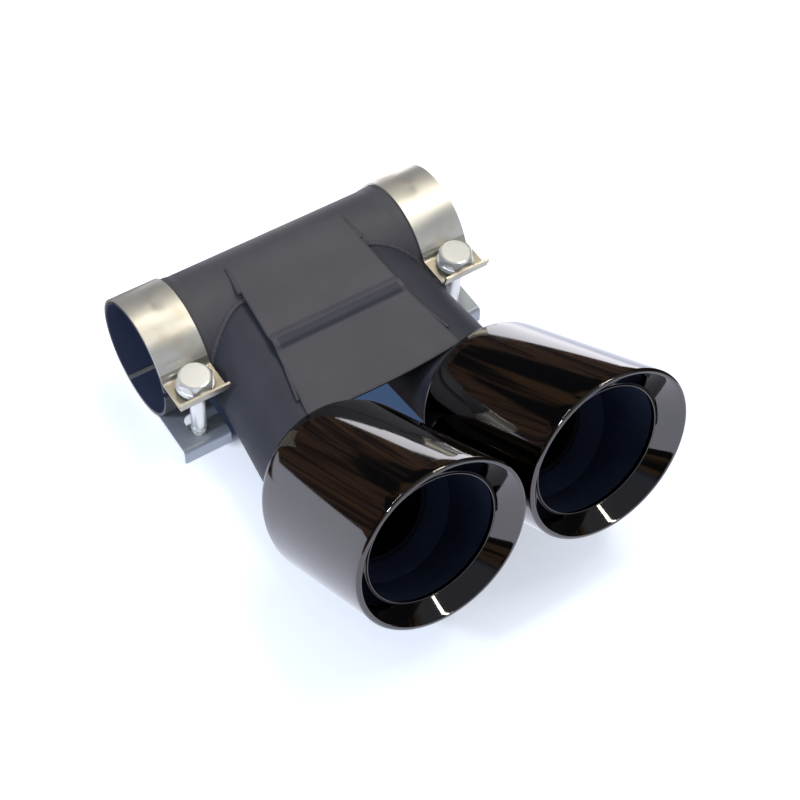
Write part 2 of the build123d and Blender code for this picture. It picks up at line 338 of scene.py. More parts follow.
@dataclass(frozen=True)
class BlackChrome(Finish):
    """Polished black chrome with the faint warm cast of the plating."""

    dark: tuple = (0.108, 0.106, 0.110)
    warm: tuple = (0.118, 0.110, 0.106)
    roughness: float = 0.045

    def weave(self, graph: Graph) -> None:
        """A slow drift of tint, faint wiping marks and a polish that is nearly even."""
        place = graph.position()
        drift = graph.noise(place, 18.0, 2.0, 0.5).span(0.3, 0.7)
        wiped = graph.noise(graph.scaled(place, (60.0, 900.0, 900.0)), 1.0, 2.0, 0.5)
        graph.close({
            "Base Color": graph.mix(drift, self.dark, self.warm),
            "Metallic": 1.0,
            "Roughness": self.roughness + 0.03 * wiped.span(0.45, 0.75),
        })


@dataclass(frozen=True)
class DarkSleeve(Finish):
    """The dark satin inside of a tip, a little duller in a random mottle."""

    base: tuple = (0.024, 0.033, 0.068)
    sooty: tuple = (0.017, 0.024, 0.050)
    roughness: float = 0.5

    def weave(self, graph: Graph) -> None:
        """Fine turning marks and a slight mottling."""
        place = graph.position()
        mottled = graph.noise(place, 70.0, 4.0, 0.6)
        lines = graph.noise(graph.scaled(place, (300.0, 1800.0, 1800.0)), 1.0, 2.0, 0.5)
        graph.close({
            "Base Color": graph.mix(mottled.span(0.35, 0.7), self.base, self.sooty),
            "Roughness": self.roughness + 0.18 * mottled,
            "Specular IOR Level": 0.3,
            "Normal": graph.bump(lines, 0.00003, 0.4),
        })


@dataclass(frozen=True)
class SatinStrip(Finish):
    """Rolled stainless strip: fine lines along the band and a warm satin sheen."""

    base: tuple = (0.68, 0.665, 0.625)
    heated: tuple = (0.62, 0.535, 0.37)
    roughness: float = 0.30
    metal: float = 0.7

    def weave(self, graph: Graph) -> None:
        """Rolling lines run around the band, so they are fine along X alone."""
        place = graph.position()
        lines = graph.noise(graph.scaled(place, (2400.0, 26.0, 26.0)), 1.0, 3.0, 0.6)
        stain = graph.noise(place, 46.0, 3.0, 0.6).span(0.52, 0.78)
        colour = graph.mix(0.25 * lines + 0.6 * stain, self.base, self.heated)
        graph.close({
            "Base Color": colour,
            "Metallic": self.metal,
            "Roughness": self.roughness + 0.14 * lines + 0.08 * stain,
            "Anisotropic": 0.45,
            "Normal": graph.bump(lines, 0.00002, 0.35),
        })


@dataclass(frozen=True)
class BrightPlate(Finish):
    """Bright plating on the bolts, washers and nuts."""

    base: tuple = (0.90, 0.90, 0.88)
    worn: tuple = (0.84, 0.81, 0.73)
    roughness: float = 0.28
    metal: float = 0.65

    def weave(self, graph: Graph) -> None:
        """Small dull patches over a bright plate."""
        place = graph.position()
        patch = graph.noise(place, 320.0, 4.0, 0.65).span(0.5, 0.75)
        fine = graph.noise(place, 2200.0, 2.0, 0.5)
        graph.close({
            "Base Color": graph.mix(patch * 0.8, self.base, self.worn),
            "Metallic": self.metal,
            "Roughness": self.roughness + 0.06 * patch + 0.03 * fine,
            "Normal": graph.bump(fine, 0.00001, 0.2),
        })


@dataclass(frozen=True)
class StudioFloor(Finish):
    """The pale matt table top, with painted shadow spots under the part; polished surfaces see a painted
    reflection of it that ends in a dark room.
    """

    middle_y: float = 0.093
    pale: tuple = (0.84, 0.88, 0.95)
    # Painted shadow: spots under the part take this shade as their base colour and the dim glow to the eye,
    # and the spot between the necks glows bluish.
    shade: tuple = (0.16, 0.2, 0.31)
    glow: float = 0.52
    unseen_share: float = 0.12
    mottle_share: float = 0.985
    shadow_glow_blue: tuple = (0.085, 0.155, 0.31)
    dim: tuple = (0.015, 0.022, 0.045)
    middle_shadow_spot: tuple = (0.014, -0.066, 0.040, 0.050)
    side_shadow_spots: tuple = ((-0.061, -0.028, 0.011, 0.022), (0.061, -0.028, 0.011, 0.022))
    shadow_spot_edge: tuple = (0.4, 1.5)
    # Painted reflection for polished surfaces: the edges of the lit table patch, its notch, its brightness, a
    # painted bright spot and the dark brown streaks beyond.
    right_edge: tuple = (0.29, 0.302)
    far_slope: float = 1.2
    far_edge: tuple = (-0.454, -0.438)
    notch_across: tuple = ((-0.175, -0.165), (-0.02, 0.0))
    notch_along: tuple = (0.02, 0.035)
    near: tuple = (-0.25, 0.3)
    lit: tuple = ((1.1, 1.16, 1.36), (1.06, 1.11, 1.28))
    flare_across: tuple = (0.0, 0.05)
    flare_along: tuple = (-0.03, 0.03)
    painted_flare: tuple = (2.3, 2.3, 2.45)
    hub: float = 0.12
    run: float = 0.02
    streaks: tuple = (
        (0.0, (0.03, 0.025, 0.025)), (0.47, (0.06, 0.045, 0.042)), (0.56, (0.2, 0.115, 0.075)),
        (0.63, (0.06, 0.05, 0.055)), (0.76, (0.3, 0.19, 0.1)))

    def spot(self, across: Signal, along: Signal, gap: tuple) -> Signal:
        """A soft ellipse of painted shadow, 1 inside.

        Args:
            across: The place along the cross pipe.
            along: The place towards the back.
            gap: The ellipse's middle and its half widths.

        Returns:
            The value of the ellipse.
        """
        gap_x = (across - gap[0]) / gap[2]
        gap_y = (along - gap[1]) / gap[3]
        return 1 - (gap_x * gap_x + gap_y * gap_y).span(*self.shadow_spot_edge)

    def weave(self, graph: Graph) -> None:
        """A top that glows to the eye, with painted shadow spots under the part, and its painted reflection
        for polished surfaces.

        Args:
            graph: The material's graph.
        """
        place = graph.position()
        across, depth, _ = graph.axes(place)
        along = depth - self.middle_y
        # Painted shadow spots: one between the necks and one beside each clamp.
        between = self.spot(across, along, self.middle_shadow_spot)
        left, right = (self.spot(across, along, gap) for gap in self.side_shadow_spots)
        shaded = between.most(left).most(right)
        duller = tuple(self.mottle_share * part for part in self.pale)
        pale = graph.mix(graph.noise(place, 9.0), self.pale, duller)
        seen = graph.node("ShaderNodeLightPath", output="Is Camera Ray")
        glowing = graph.mix(seen, tuple(self.unseen_share * part for part in self.pale), self.pale)
        dimmed = graph.mix(shaded * seen, glowing, self.dim)
        top = graph.node("ShaderNodeBsdfPrincipled", {}, {
            "Base Color": graph.mix(shaded, pale, self.shade),
            "Roughness": 0.85,
            "Specular IOR Level": 0.1,
            "Emission Color": graph.mix(between * seen, dimmed, self.shadow_glow_blue),
            "Emission Strength": self.glow,
        })
        # Polished surfaces see the painted reflection instead of the top.
        glossy = graph.node("ShaderNodeLightPath", output="Is Glossy Ray")
        mirrored = self.mirrored(graph, across, along, shaded)
        graph.end(graph.node("ShaderNodeMixShader", {}, {0: glossy, 1: top, 2: mirrored}))

    def mirrored(self, graph: Graph, across: Signal, along: Signal, shaded: Signal) -> Signal:
        """Painted reflection, seen by polished surfaces alone: a lit table patch, brighter towards the front
        and with a painted bright spot, between dark brown streaks.

        Args:
            graph: The material's graph.
            across: The place along the cross pipe.
            along: The place towards the back.
            shaded: 1 in the painted shadow spots under the part, where the reflection shows the dark streaks.

        Returns:
            The emission shader.
        """
        slant = across - self.far_slope * along
        table = (1 - across.span(*self.right_edge)) * slant.span(*self.far_edge) * (1 - shaded)
        notch = across.within(*self.notch_across) * along.span(*self.notch_along)
        turn = graph.node("ShaderNodeMath", {"operation": "ARCTAN2"}, {0: across, 1: along + self.hub})
        ray = graph.node("ShaderNodeCombineXYZ", {}, {0: turn, 1: along * self.run})
        streak = graph.noise(ray, 17.0, 3.0, 0.6)
        dark = graph.node("ShaderNodeValToRGB", {"stops": self.streaks}, {0: streak})
        lit = graph.mix(1 - along.span(*self.near), *self.lit)
        flared = along.span(*self.flare_along) * across.span(*self.flare_across)
        lit = graph.mix(flared, lit, self.painted_flare)
        colour = graph.mix(table * (1 - notch), dark, lit)
        return graph.node("ShaderNodeEmission", {}, {"Color": colour, "Strength": 1.0})


# Mesh helpers


def link(name: str, mesh: Mesh) -> Object:
    """Put a mesh into the scene as an object.

    Args:
        name: The object's name.
        mesh: The mesh.

    Returns:
        The new object.
    """
    piece = bpy.data.objects.new(name, mesh)
    bpy.context.scene.collection.objects.link(piece)
    return piece


def dress(piece: Object, material: Material, crease: float) -> Object:
    """Give a new piece its one material and smooth shading with sharp creases.

    Args:
        piece: The object.
        material: Its finish.
        crease: The angle in degrees past which an edge stays sharp.

    Returns:
        The same object.
    """
    piece.data.materials.clear()
    piece.data.materials.append(material)
    piece.data.polygons.foreach_set("use_smooth", [True] * len(piece.data.polygons))
    piece.data.set_sharp_from_angle(angle=math.radians(crease))
    return piece


def skin(rings: Sequence[Sequence[Vector]], looped: bool = True) -> Mesh:
    """Skin closed rings of equal counts.

    Args:
        rings: Rings of points, each as long as the others.
        looped: Whether the last ring joins the first; otherwise both ends are capped.

    Returns:
        A closed mesh whose faces point outwards.
    """
    mesh = bpy.data.meshes.new("skin")
    made = bmesh.new()
    rows = [[made.verts.new(point) for point in ring] for ring in rings]
    for row, after in zip(rows, rows[1:] + rows[:1] if looped else rows[1:]):
        for index, vert in enumerate(row):
            right = (index + 1) % len(row)
            made.faces.new((vert, row[right], after[right], after[index]))
    if not looped:
        made.faces.new(rows[0])
        made.faces.new(rows[-1])
    bmesh.ops.recalc_face_normals(made, faces=made.faces)
    made.to_mesh(mesh)
    made.free()
    return mesh


def arc(centre: tuple[float, float], radius: float, start: float, end: float,
        steps: int) -> list[tuple[float, float]]:
    """Points of a flat arc.

    Args:
        centre: The centre.
        radius: The radius.
        start: The first angle in degrees.
        end: The last angle in degrees.
        steps: The number of runs.

    Returns:
        The points, both ends included.
    """
    points = []
    for step in range(steps + 1):
        angle = math.radians(start + (end - start) * step / steps)
        points.append((centre[0] + radius * math.cos(angle), centre[1] + radius * math.sin(angle)))
    return points


def turns(count: int) -> list[float]:
    """Even angles round a full turn, in radians."""
    return [2 * math.pi * index / count for index in range(count)]


# Shared layout of the part


@dataclass(frozen=True)
class Layout:
    """The sizes that several pieces share, in metres about the middle of the cross pipe."""

    centre: Vector
    pipe_r: float = 31.75 * MM
    neck_r: float = 28.1 * MM
    neck_root_x: float = 34.6 * MM
    tip_x: float = 45.95 * MM
    tip_rear: tuple = (-125.4 * MM, 0.0 * MM)
    tip_pitch: float = math.radians(32.2)
    bend_back: float = 17.55 * MM
    band_x: float = 78.5 * MM
    bolt_y: float = -40.5 * MM
    bolt_lean: float = math.radians(3.0)

    def tip_frame(self, side: Side) -> Matrix:
        """The frame of a tip: Z along it to the mouth, Y to the long side of its cut."""
        place = self.centre + Vector((side.value * self.tip_x, *self.tip_rear))
        return Matrix.Translation(place) @ Matrix.Rotation(math.pi / 2 - self.tip_pitch, 4, "X")

    def neck_line(self, side: Side) -> tuple[Vector, Vector]:
        """The root of a neck's axis and its unit direction.

        Args:
            side: The half of the part.

        Returns:
            The root and the direction.
        """
        root = self.centre + Vector((side.value * self.neck_root_x, 0.0, 0.0))
        corner = self.tip_frame(side) @ Vector((0.0, 0.0, -self.bend_back))
        return root, (corner - root).normalized()

    def bolt_frame(self, side: Side) -> Matrix:
        """The frame of a clamp's bolt: Z up along its shank."""
        place = self.centre + Vector((side.value * self.band_x, self.bolt_y, 0.0))
        return Matrix.Translation(place) @ Matrix.Rotation(self.bolt_lean, 4, "X")


# Tips


@dataclass
class TipShell:
    """The polished outer skin of a tip, with its rolled lip and bevelled mouth."""

    layout: Layout
    side: Side
    material: Material
    radius: float = 45.0 * MM
    sheet: float = 1.2 * MM
    length: float = 103.5 * MM
    slash: float = math.radians(24.0)
    shoulder: float = 9.0 * MM
    outer_round: float = 1.8 * MM
    inner_round: float = 0.9 * MM
    bevel_depth: float = 10.4 * MM
    mouth: float = 34.3 * MM
    collar: float = 3.0 * MM
    lining: float = 0.5 * MM
    roof: float = 3.6 * MM
    hole: float = 28.25 * MM
    around: int = 224
    rim_r: float = 0.4 * MM
    rim_steps: int = 14
    bevel_steps: int = 8
    back_steps: int = 4
    wall_rings: int = 14

    def front(self) -> list[tuple[float, float]]:
        """The lip, the bevel and the collar.

        Returns:
            Radii and depths behind the cut.
        """
        crest = self.radius - self.outer_round
        slope = math.degrees(math.atan2(crest - self.mouth, self.bevel_depth))
        points = arc((crest, self.outer_round), self.outer_round, 0, -90, 12)
        points += arc((crest, self.inner_round), self.inner_round, -90, slope - 180, 9)[1:]
        start_r, start_d = points[-1]
        for step in range(1, self.bevel_steps + 1):
            share = step / self.bevel_steps
            points.append((start_r + (self.mouth - start_r) * share,
                           start_d + (self.bevel_depth - start_d) * share))
        inner_r, collar_end = self.mouth + self.lining, self.bevel_depth + self.collar
        return points + [
            (self.mouth, collar_end), (inner_r, collar_end), (inner_r, self.bevel_depth + self.lining),
            (crest - self.sheet, self.roof), (self.radius - self.sheet, self.roof)]

    def profile(self) -> list[Entry]:
        """The whole section of the skin.

        Returns:
            Radii and places, and whether the place is a depth behind the cut.
        """
        flat_end = self.radius - self.shoulder
        width = flat_end - self.hole
        back = [(self.hole + width * step / self.back_steps, 0.0) for step in range(self.back_steps + 1)]
        back += arc((flat_end, self.shoulder), self.shoulder, -90, 0, 12)[1:]
        inside = arc((flat_end, self.shoulder), self.shoulder - self.sheet, 0, -90, 8)
        inside.append((self.hole, self.sheet))
        return ([(r, w, False) for r, w in back] + [(r, d, True) for r, d in self.front()]
                + [(r, w, False) for r, w in inside])

    def mesh(self) -> Mesh:
        """Sweep the section round the tip, leaning its front with the cut.

        Returns:
            The closed skin.
        """
        section = self.profile()
        wall = next(index for index, entry in enumerate(section) if entry[2]) - 1
        rows = [self._ring(entry) for entry in section[:wall + 1]]
        rows += self._between(rows[-1], self._ring(section[wall + 1]))
        return skin(rows + [self._ring(entry) for entry in section[wall + 1:]])

    def _place(self, entry: Entry, angle: float) -> Vector:
        """One point of the skin in the tip's frame."""
        radius, place, cut = entry
        across, up = radius * math.sin(angle), radius * math.cos(angle)
        if cut:
            place = self.length - place / math.cos(self.slash) + up * math.tan(self.slash)
        return Vector((across, up, place))

    def _ring(self, entry: Entry) -> list[Vector]:
        """One ring of the skin in the part's frame."""
        matrix = self.layout.tip_frame(self.side)
        return [matrix @ self._place(entry, angle) for angle in turns(self.around)]

    def _between(self, start: list[Vector], end: list[Vector]) -> list[list[Vector]]:
        """Even rings along the straight wall."""
        shares = [step / (self.wall_rings + 1) for step in range(1, self.wall_rings + 1)]
        return [[a.lerp(b, share) for a, b in zip(start, end)] for share in shares]

    def build(self) -> Object:
        """Make the piece."""
        return dress(link(self.side.word + "_tip_skin", self.mesh()), self.material, 40.0)

    def rim(self) -> Object:
        """Make the rolled edge where the bevel meets the sleeve.

        Returns:
            The dressed object.
        """
        middle = (self.mouth - self.rim_r, self.bevel_depth)
        rows = [self._ring((r, d, True)) for r, d in arc(middle, self.rim_r, 0, 360, self.rim_steps)[:-1]]
        return dress(link(self.side.word + "_sleeve_rim", skin(rows)), self.material, 60.0)


# Gusset plate


@dataclass
class GussetPlate:
    """The pressed plate that wraps the cross pipe and lies down onto the necks."""

    layout: Layout
    material: Material
    sheet: float = 2.0 * MM
    gap: float = 0.1 * MM
    rear_y: float = 4.0 * MM
    front_y: float = -92.5 * MM
    bow: float = 2.4 * MM
    bow_start: float = 0.82
    rest_y: float = -86.0 * MM
    waist_y: float = -53.5 * MM
    halves: tuple = (34.5 * MM, 38.8 * MM, 44.6 * MM)
    rib_y: float = -50.4 * MM
    rib_half: float = 5.9 * MM
    rib_height: float = 2.1 * MM
    rib_flat: float = 1.35
    edge_round: float = 0.55 * MM
    end_shares: tuple = (0.55, 0.9, 1.0)
    end_inset: float = 0.5 * MM
    across: int = 64
    wrap_steps: int = 24
    run_steps: int = 120

    def path(self) -> list[tuple[Vector, Vector]]:
        """Follow the middle of the sheet from the rear to the front.

        Returns:
            Points and the sheet's upward normals, both flat.
        """
        low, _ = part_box("top_gusset_plate")
        ride = self.layout.pipe_r + self.gap + self.sheet / 2
        rest = Vector((self.rest_y, low.z - self.layout.centre.z + self.sheet / 2))
        tilt = math.asin(ride / rest.length) - math.atan2(rest.y, -rest.x)
        spots: list[tuple[Vector, Vector]] = []
        start = math.acos(self.rear_y / ride)
        for step in range(self.wrap_steps + 1):
            turn = start + (math.pi / 2 + tilt - start) * step / self.wrap_steps
            normal = Vector((math.cos(turn), math.sin(turn)))
            spots.append((normal * ride, normal))
        base, normal = spots[-1]
        down = Vector((-math.cos(tilt), -math.sin(tilt)))
        length = (self.front_y - self.bow - base.x) / down.x
        probe = 0.1 * MM
        for step in range(1, self.run_steps + 1):
            place = base + down * (length * step / self.run_steps)
            lean = (self.swell(place.x + probe) - self.swell(place.x - probe)) / (2 * probe)
            turned = (normal + Vector((-lean, 0.0))).normalized()
            spots.append((place + normal * self.swell(place.x), turned))
        return spots

    def swell(self, y: float) -> float:
        """The height of the pressed rib at a place along the plate."""
        share = min(1.0, abs(y - self.rib_y) / self.rib_half)
        return self.rib_height * min(1.0, self.rib_flat * (1.0 - share ** 2 * (3.0 - 2.0 * share)))

    def half_width(self, y: float) -> float:
        """Half of the plate's width at a place along it."""
        rear, waist, front = self.halves
        if y > self.waist_y:
            return rear + (waist - rear) * ((self.rear_y - y) / (self.rear_y - self.waist_y))
        return waist + (front - waist) * (self.waist_y - y) / (self.waist_y - self.front_y)

    def build(self) -> Object:
        """Make the plate from rings that run around its section.

        Returns:
            The dressed object.
        """
        spots = self.path()
        last = len(spots) - 1
        rows: list[list[Vector]] = []
        for index, (place, normal) in enumerate(spots):
            end = min(index, last - index)
            thin = self.sheet / 2 * self.end_shares[min(end, 2)]
            half = self.half_width(place.x) - (self.end_inset if end == 0 else 0.0)
            rows.append(self._section(place, normal, half, thin, index / last))
        return dress(link("pressed_gusset_plate", skin(rows, False)), self.material, 50.0)

    def _section(self, place: Vector, normal: Vector, half: float, thin: float, share: float) -> list[Vector]:
        """One ring around the sheet, with rounded side edges and the front bow.

        Args:
            place: The middle of the ring.
            normal: The sheet's normal there.
            half: Half of the width.
            thin: Half of the thickness.
            share: The place along the plate, from 0 at the rear to 1 at the front.

        Returns:
            The ring in the part's frame.
        """
        corner = self.edge_round
        width = 2 * half - 2 * corner
        upper = [(-half + corner + width * step / self.across, thin) for step in range(self.across + 1)]
        upper += [(half - corner * 0.3, thin * 0.75), (half, 0.0), (half - corner * 0.3, -thin * 0.75)]
        bend = self.bow * max(0.0, share - self.bow_start) / (1.0 - self.bow_start)
        ring: list[Vector] = []
        for x, height in upper + [(-x, -height) for x, height in upper]:
            flat = place + normal * height
            ring.append(self.layout.centre + Vector((x, flat.x + bend * ((x / half) ** 2 - 1.0), flat.y)))
        return ring


# Welds and threads, made with Geometry Nodes


class PatternTree(Graph):
    """A Geometry Nodes tree that is run once and left as a plain mesh."""

    def __init__(self, name: str, inputs: dict[str, str]) -> None:
        """Make the tree with its named inputs.

        Args:
            name: The tree's name.
            inputs: The socket type of each named input.
        """
        super().__init__(bpy.data.node_groups.new(name, "GeometryNodeTree"))
        self.tree.interface.new_socket("Geometry", in_out="INPUT", socket_type="NodeSocketGeometry")
        for label, kind in inputs.items():
            self.tree.interface.new_socket(label, in_out="INPUT", socket_type=kind)
        self.tree.interface.new_socket("Geometry", in_out="OUTPUT", socket_type="NodeSocketGeometry")
        self.entry = self.tree.nodes.new("NodeGroupInput")

    def given(self, label: str) -> Signal:
        """One of the tree's named inputs."""
        return Signal(self, self.entry.outputs[label])

    def finish(self, shape: Signal) -> None:
        """End the tree with realized instances and a material."""
        real = self.node("GeometryNodeRealizeInstances", {}, {0: shape})
        painted = self.node("GeometryNodeSetMaterial", {}, {0: real, "Material": self.given("Material")})
        self.tree.links.new(painted.socket, self.tree.nodes.new("NodeGroupOutput").inputs[0])

    def run(self, name: str, base: Mesh, values: dict) -> Object:
        """Run the tree on a base mesh.

        Args:
            name: The new object's name.
            base: The mesh that the tree starts from.
            values: The inputs by name.

        Returns:
            A plain mesh object.
        """
        holder = link(name + "_path", base)
        modifier = holder.modifiers.new("pattern", "NODES")
        modifier.node_group = self.tree
        for item in self.tree.interface.items_tree:
            if item.in_out == "INPUT" and item.name in values:
                modifier[item.identifier] = values[item.name]
        graph = bpy.context.evaluated_depsgraph_get()
        mesh = bpy.data.meshes.new_from_object(holder.evaluated_get(graph), depsgraph=graph)
        bpy.data.objects.remove(holder)
        return link(name, mesh)


class Stitch(Enum):
    """The plate's side welds, with the size of their beads."""

    FRONT = 0.6
    REAR = 0.95


@dataclass
class WeldBeads:
    """Rows of fused droplets along the seams of the pipework."""

    layout: Layout
    material: Material
    radius: float = 1.5 * MM
    pitch: float = 0.8 * MM
    lean: float = 0.1
    seed: int = 7
    lift: float = 0.1 * MM
    collar_gap: float = 0.8 * MM
    saddle_size: float = 1.05
    seam_points: int = 120
    stitch_runs: int = 12

    def __post_init__(self) -> None:
        """Build the shared tree."""
        kinds = {"Pitch": "NodeSocketFloat", "Radius": "NodeSocketFloat", "Seed": "NodeSocketInt",
                 "Material": "NodeSocketMaterial"}
        self.tree = tree = PatternTree("weld_beads", kinds)
        line = tree.node("GeometryNodeMeshToCurve", {}, {0: tree.given("Geometry")})
        even = tree.node("GeometryNodeResampleCurve", {"mode": "LENGTH"},
                         {"Curve": line, "Length": tree.given("Pitch")})
        drop = tree.node("GeometryNodeMeshIcoSphere", {}, {"Radius": tree.given("Radius"), "Subdivisions": 3})
        vary = tree.node("FunctionNodeRandomValue", {"data_type": "FLOAT"},
                         {"Seed": tree.given("Seed"), 2: 1.0 - self.lean, 3: 1.0 + self.lean / 2}, 1)
        row = {"Points": even, "Instance": drop, "Scale": vary}
        tree.finish(tree.node("GeometryNodeInstanceOnPoints", {}, row))

    def row(self, name: str, points: Sequence[Vector], ring: bool, size: float = 1.0) -> Object:
        """Lay beads along points.

        Args:
            name: The new object's name.
            points: The points of the seam.
            ring: Whether the seam closes on itself.
            size: A factor on the bead's radius.

        Returns:
            The dressed object.
        """
        base = bpy.data.meshes.new(name)
        edges = [(index, index + 1) for index in range(len(points) - 1)]
        if ring:
            edges.append((len(points) - 1, 0))
        base.from_pydata([tuple(point) for point in points], edges, [])
        values = {"Pitch": self.pitch, "Radius": self.radius * size, "Seed": self.seed,
                  "Material": self.material}
        return dress(self.tree.run(name, base, values), self.material, 40.0)

    def saddle(self, side: Side) -> Object:
        """The seam where a neck leaves the cross pipe.

        Args:
            side: The half of the part.

        Returns:
            The dressed object.
        """
        root, along = self.layout.neck_line(side)
        across = along.cross(Vector((0.0, 0.0, 1.0))).normalized()
        rise = across.cross(along)
        lead = along.yz
        neck_reach, pipe_reach = self.layout.neck_r + self.lift, self.layout.pipe_r + self.lift
        points = []
        for turn in turns(self.seam_points):
            start = root + (across * math.cos(turn) + rise * math.sin(turn)) * neck_reach
            flat = (start - self.layout.centre).yz
            half = flat.dot(lead)
            square = half ** 2 - lead.length_squared * (flat.length_squared - pipe_reach ** 2)
            points.append(start + along * ((math.sqrt(max(square, 0.0)) - half) / lead.length_squared))
        return self.row(side.word + "_saddle_beads", points, True, self.saddle_size)

    def collar(self, side: Side) -> Object:
        """The ring weld between a neck and the back of its tip.

        Args:
            side: The half of the part.

        Returns:
            The dressed object.
        """
        matrix = self.layout.tip_frame(side)
        reach = self.layout.neck_r + self.collar_gap
        points = [matrix @ Vector((reach * math.sin(turn), reach * math.cos(turn), -self.collar_gap))
                  for turn in turns(self.seam_points)]
        return self.row(side.word + "_collar_beads", points, True)

    def stitch(self, side: Side, where: Stitch) -> Object:
        """A short run of beads along the plate's side, over the solid stitch of that name.

        Args:
            side: The half of the part.
            where: Which of the side's two stitches.

        Returns:
            The dressed object.
        """
        word = where.name.lower()
        low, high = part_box(side.word + "_plate_" + word + "_weld")
        inset, shift = self.radius, side.value * self.radius
        near = Vector((min(low.x, high.x, key=abs) + shift, high.y - inset, high.z - inset))
        far = Vector((max(low.x, high.x, key=abs) - shift, low.y + inset, low.z + inset))
        first, last = (near, far) if where is Stitch.REAR else (far, near)
        points = [first.lerp(last, index / self.stitch_runs) for index in range(self.stitch_runs + 1)]
        return self.row(side.word + "_" + word + "_stitch", points, False, where.value)


@dataclass
class ClampBolt:
    """A flanged bolt with a rolled thread."""

    layout: Layout
    side: Side
    material: Material
    shank_r: float = 4.0 * MM
    end: float = -35.0 * MM
    head_base: float = 12.9 * MM
    flange_r: float = 10.2 * MM
    flange_rise: float = 2.2 * MM
    flats: float = 17.4 * MM
    head_rise: float = 7.6 * MM
    corner_share: float = 1.1
    crown: tuple = ((2.6 * MM, 0.6), (0.3 * MM, 2.0))
    crown_rows: tuple = ((0.86, 0.02 * MM), (0.6, 0.0), (0.1, 0.02 * MM))
    thread_top: float = -20.0 * MM
    thread_start: float = 0.9 * MM
    thread_stop: float = 0.5 * MM
    thread_depth: float = 0.4 * MM
    ridge_sink: float = 0.42 * MM
    ridge_r: float = 0.5 * MM
    pitch: float = 1.25 * MM
    around: int = 96
    head_steps: int = 12

    def head_radius(self, turn: float, height: float) -> float:
        """How far the head reaches, a hexagon under a crown that falls off in two slopes.

        Args:
            turn: The angle round the bolt.
            height: The height over the head's seat.

        Returns:
            The radius.
        """
        hexagon = self.flats / 2 / math.cos(turn % (math.pi / 3) - math.pi / 6)
        reach = self.flats / 2 * self.corner_share
        for depth, slope in self.crown:
            reach -= max(0.0, height - self.head_rise + depth) * slope
        return min(hexagon, reach)

    def ring(self, radii: Sequence[float], height: float) -> list[Vector]:
        """One ring of the bolt, from a radius at each turn."""
        matrix = self.layout.bolt_frame(self.side)
        return [matrix @ Vector((radius * math.cos(turn), radius * math.sin(turn), height))
                for radius, turn in zip(radii, turns(self.around))]

    def rings(self) -> list[list[Vector]]:
        """Stack the rows of the body.

        Returns:
            The rows from the shank's end to the top of the head.
        """
        root_r, base = self.shank_r - self.thread_depth, self.head_base
        profile = [
            (0.4 * MM, self.end),
            (self.shank_r - 1.2 * MM, self.end),
            (root_r, self.end + 1.0 * MM),
            (root_r, self.thread_top),
            (self.shank_r, self.thread_top + 0.6 * MM),
            (self.shank_r, base),
            (self.flange_r - 0.5 * MM, base),
            (self.flange_r, base + 0.5 * MM),
            (self.flange_r - 0.3 * MM, base + 1.0 * MM),
            (self.flats / 2 * self.corner_share, base + self.flange_rise),
        ]
        rows = [self.ring([radius] * self.around, height) for radius, height in profile]
        for step in range(self.head_steps + 1):
            height = self.flange_rise + (self.head_rise - self.flange_rise) * (step / self.head_steps) ** 0.8
            radii = [self.head_radius(turn, height) for turn in turns(self.around)]
            rows.append(self.ring(radii, base + height))
        for share, drop in self.crown_rows:
            rows.append(self.ring([self.flats / 2 * share] * self.around, base + self.head_rise - drop))
        return rows

    def build(self) -> Object:
        """Make the bolt's body."""
        return dress(link(self.side.word + "_flanged_bolt", skin(self.rings(), False)), self.material, 28.0)

    def thread(self) -> Object:
        """Wind the thread's ridge round the shank.

        Returns:
            The dressed object.
        """
        kinds = {label: "NodeSocketFloat" for label in ("Turns", "Rise", "Radius", "Ridge")}
        tree = PatternTree("bolt_thread", {**kinds, "Material": "NodeSocketMaterial"})
        coil = tree.node("GeometryNodeCurveSpiral", {}, {
            "Resolution": 40, "Rotations": tree.given("Turns"), "Height": tree.given("Rise"),
            "Start Radius": tree.given("Radius"), "End Radius": tree.given("Radius")})
        ridge = tree.node("GeometryNodeCurvePrimitiveCircle", {},
                          {"Resolution": 6, "Radius": tree.given("Ridge")})
        tree.finish(tree.node("GeometryNodeCurveToMesh", {}, {0: coil, 1: ridge, "Fill Caps": True}))
        rise = self.thread_top - self.end - self.thread_start - self.thread_stop
        values = {"Turns": rise / self.pitch, "Rise": rise, "Radius": self.shank_r - self.ridge_sink,
                  "Ridge": self.ridge_r, "Material": self.material}
        piece = tree.run(self.side.word + "_bolt_thread", bpy.data.meshes.new("coil"), values)
        foot = Matrix.Translation((0.0, 0.0, self.end + self.thread_start))
        piece.data.transform(self.layout.bolt_frame(self.side) @ foot)
        return dress(piece, self.material, 60.0)


# Camera, light and floor


